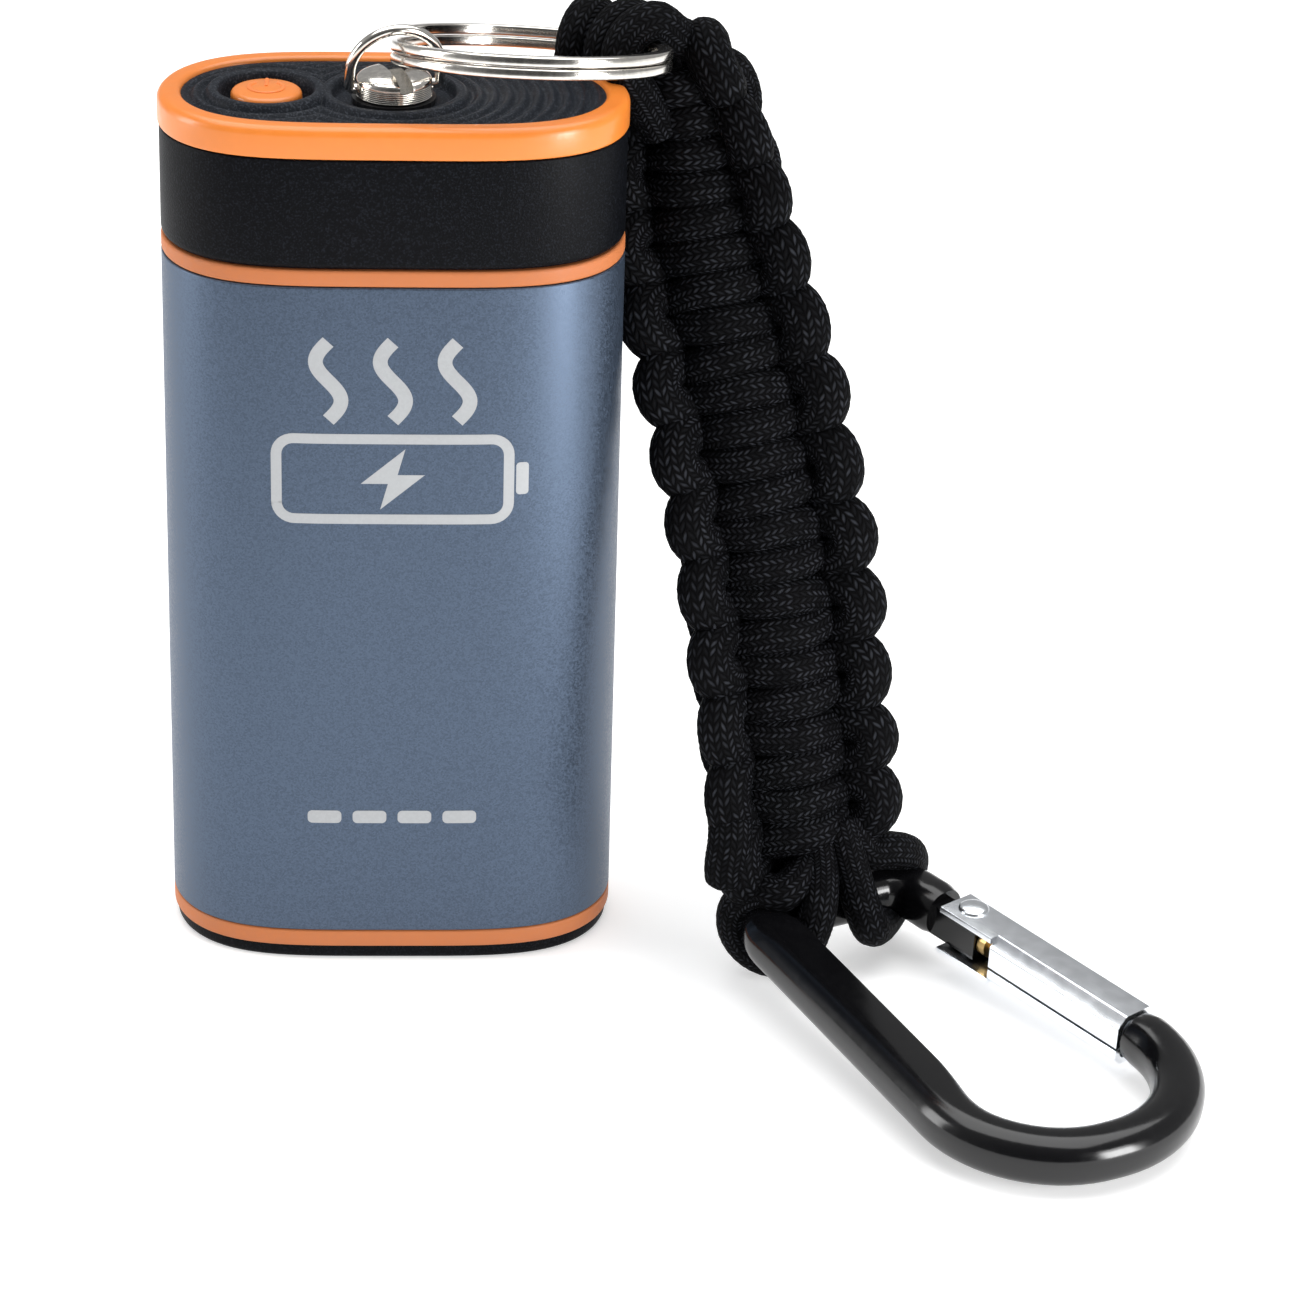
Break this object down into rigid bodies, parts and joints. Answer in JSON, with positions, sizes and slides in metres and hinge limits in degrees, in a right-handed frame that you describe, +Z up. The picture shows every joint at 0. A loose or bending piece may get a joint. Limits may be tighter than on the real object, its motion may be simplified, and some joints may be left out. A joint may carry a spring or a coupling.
{
  "type": "portable charger",
  "caption": "Flattened round-ended pocket power bank and hand warmer with a screw-held lid, split ring, woven cord lanyard and snap hook.",
  "frame": {"origin": "centre of the flat underside of the base, with the case standing upright", "axes": "+Z up along the case, -Y is the front face, +X towards the side where the lanyard hangs"},
  "size_m": [0.108, 0.077, 0.1031],
  "materials": {
    "black_plastic": "fine texture",
    "steel": "satin",
    "orange_soft": "matte",
    "blue_aluminium": "bead blasted and anodised",
    "grey_plastic": "moulded",
    "cell_wrap": "shrink wrap",
    "nickel": "bright nickel plate",
    "lead_red": "insulation",
    "lead_black": "insulation",
    "heater_film": "polyimide film",
    "board_green": "solder mask",
    "ferrite": "sintered",
    "white_plastic": "moulded",
    "brass": "turned",
    "orange_plastic": "semi-gloss moulded",
    "plate_plastic": "textured",
    "black_rubber": "matte",
    "cord": "braided nylon sheath",
    "black_anodised": "gloss black anodised",
    "zinc": "bright zinc plate"
  },
  "bodies": {
    "case": {"base_cap": "black_plastic", "base_screw_left": "steel", "base_screw_right": "steel", "base_trim_ring": "orange_soft", "shell_sleeve": "blue_aluminium", "upper_gasket": "orange_soft", "cell_cradle": "grey_plastic", "cell_left": "cell_wrap", "cell_right": "cell_wrap", "cell_tab_bottom": "nickel", "cell_tab_top": "nickel", "lead_positive": "lead_red", "lead_negative": "lead_black", "heater_film_front": "heater_film", "heater_film_back": "heater_film", "main_board": "board_green", "boost_inductor": "ferrite", "tact_switch": "black_plastic", "status_led": "white_plastic", "usb_out_socket": "steel", "usb_out_tongue": "white_plastic", "usb_in_socket": "steel", "neck_housing": "black_plastic", "threaded_insert": "brass"},
    "lid": {"lid_skirt": "black_plastic", "lid_rim": "orange_plastic", "lid_plate": "plate_plastic", "button_seal": "black_rubber", "screw_washer": "black_rubber"},
    "button": {"power_button": "orange_plastic"},
    "screw": {"ring_screw": "nickel"},
    "bow": {"d_ring": "nickel"},
    "ring": {"key_ring": "nickel"},
    "strap_top": {"lanyard_upper": "cord"},
    "strap_bottom": {"lanyard_lower": "cord"},
    "carabiner": {"carabiner_frame": "black_anodised"},
    "gate": {"carabiner_gate": "zinc", "gate_rivet": "zinc", "gate_spring": "steel"},
    "plunger": {"gate_plunger": "steel"}
  },
  "joints": [
    {"name": "lid_lift", "type": "slide", "parent": "case", "child": "lid", "axis": [0, 0, 1], "range_m": [0, 0.025]},
    {"name": "button_press", "type": "slide", "parent": "lid", "child": "button", "axis": [0, 0, -1], "range_m": [0, 0.0008], "stiffness_N_per_m": 1500},
    {"name": "screw_turn", "type": "hinge", "parent": "lid", "child": "screw", "pos_m": [0, 0, 0.0944], "axis": [0, 0, 1], "range_deg": [0, 2160]},
    {"name": "bow_fold", "type": "hinge", "parent": "screw", "child": "bow", "pos_m": [0, 0, 0.09535], "axis": [0.9703, 0.2419, 0], "range_deg": [0, 22]},
    {"name": "ring_lift", "type": "hinge", "parent": "bow", "child": "ring", "pos_m": [0.00041, 0, 0.09967], "axis": [0.2419, -0.9703, 0], "range_deg": [0, 75]},
    {"name": "strap_swing", "type": "hinge", "parent": "ring", "child": "strap_top", "pos_m": [0.02506, 0.0076, 0.09688], "axis": [0.5808, -0.7982, 0.1601], "range_deg": [0, 80]},
    {"name": "strap_bend", "type": "hinge", "parent": "strap_top", "child": "strap_bottom", "pos_m": [0.0397, -0.00365, 0.05], "axis": [0.9962, 0.0872, 0], "range_deg": [-55, 55]},
    {"name": "carabiner_swing", "type": "hinge", "parent": "strap_bottom", "child": "carabiner", "pos_m": [0.0469, -0.01165, 0.0066], "axis": [-0.9107, -0.4131, 0], "range_deg": [-85, 40]},
    {"name": "gate_open", "type": "hinge", "parent": "carabiner", "child": "gate", "pos_m": [0.06258, -0.01659, 0.00591], "axis": [-0.0259, 0.0572, -0.998], "range_deg": [0, 24], "stiffness_Nm_per_rad": 0.01, "springref_deg": -34.38},
    {"name": "plunger_slide", "type": "slide", "parent": "gate", "child": "plunger", "axis": [0.6135, -0.7873, -0.0611], "range_m": [0, 0.0007]}
  ],
  "couplings": [
    {"joint": "plunger_slide", "follows": "gate_open", "m_per_rad": 0.0016}
  ]
}
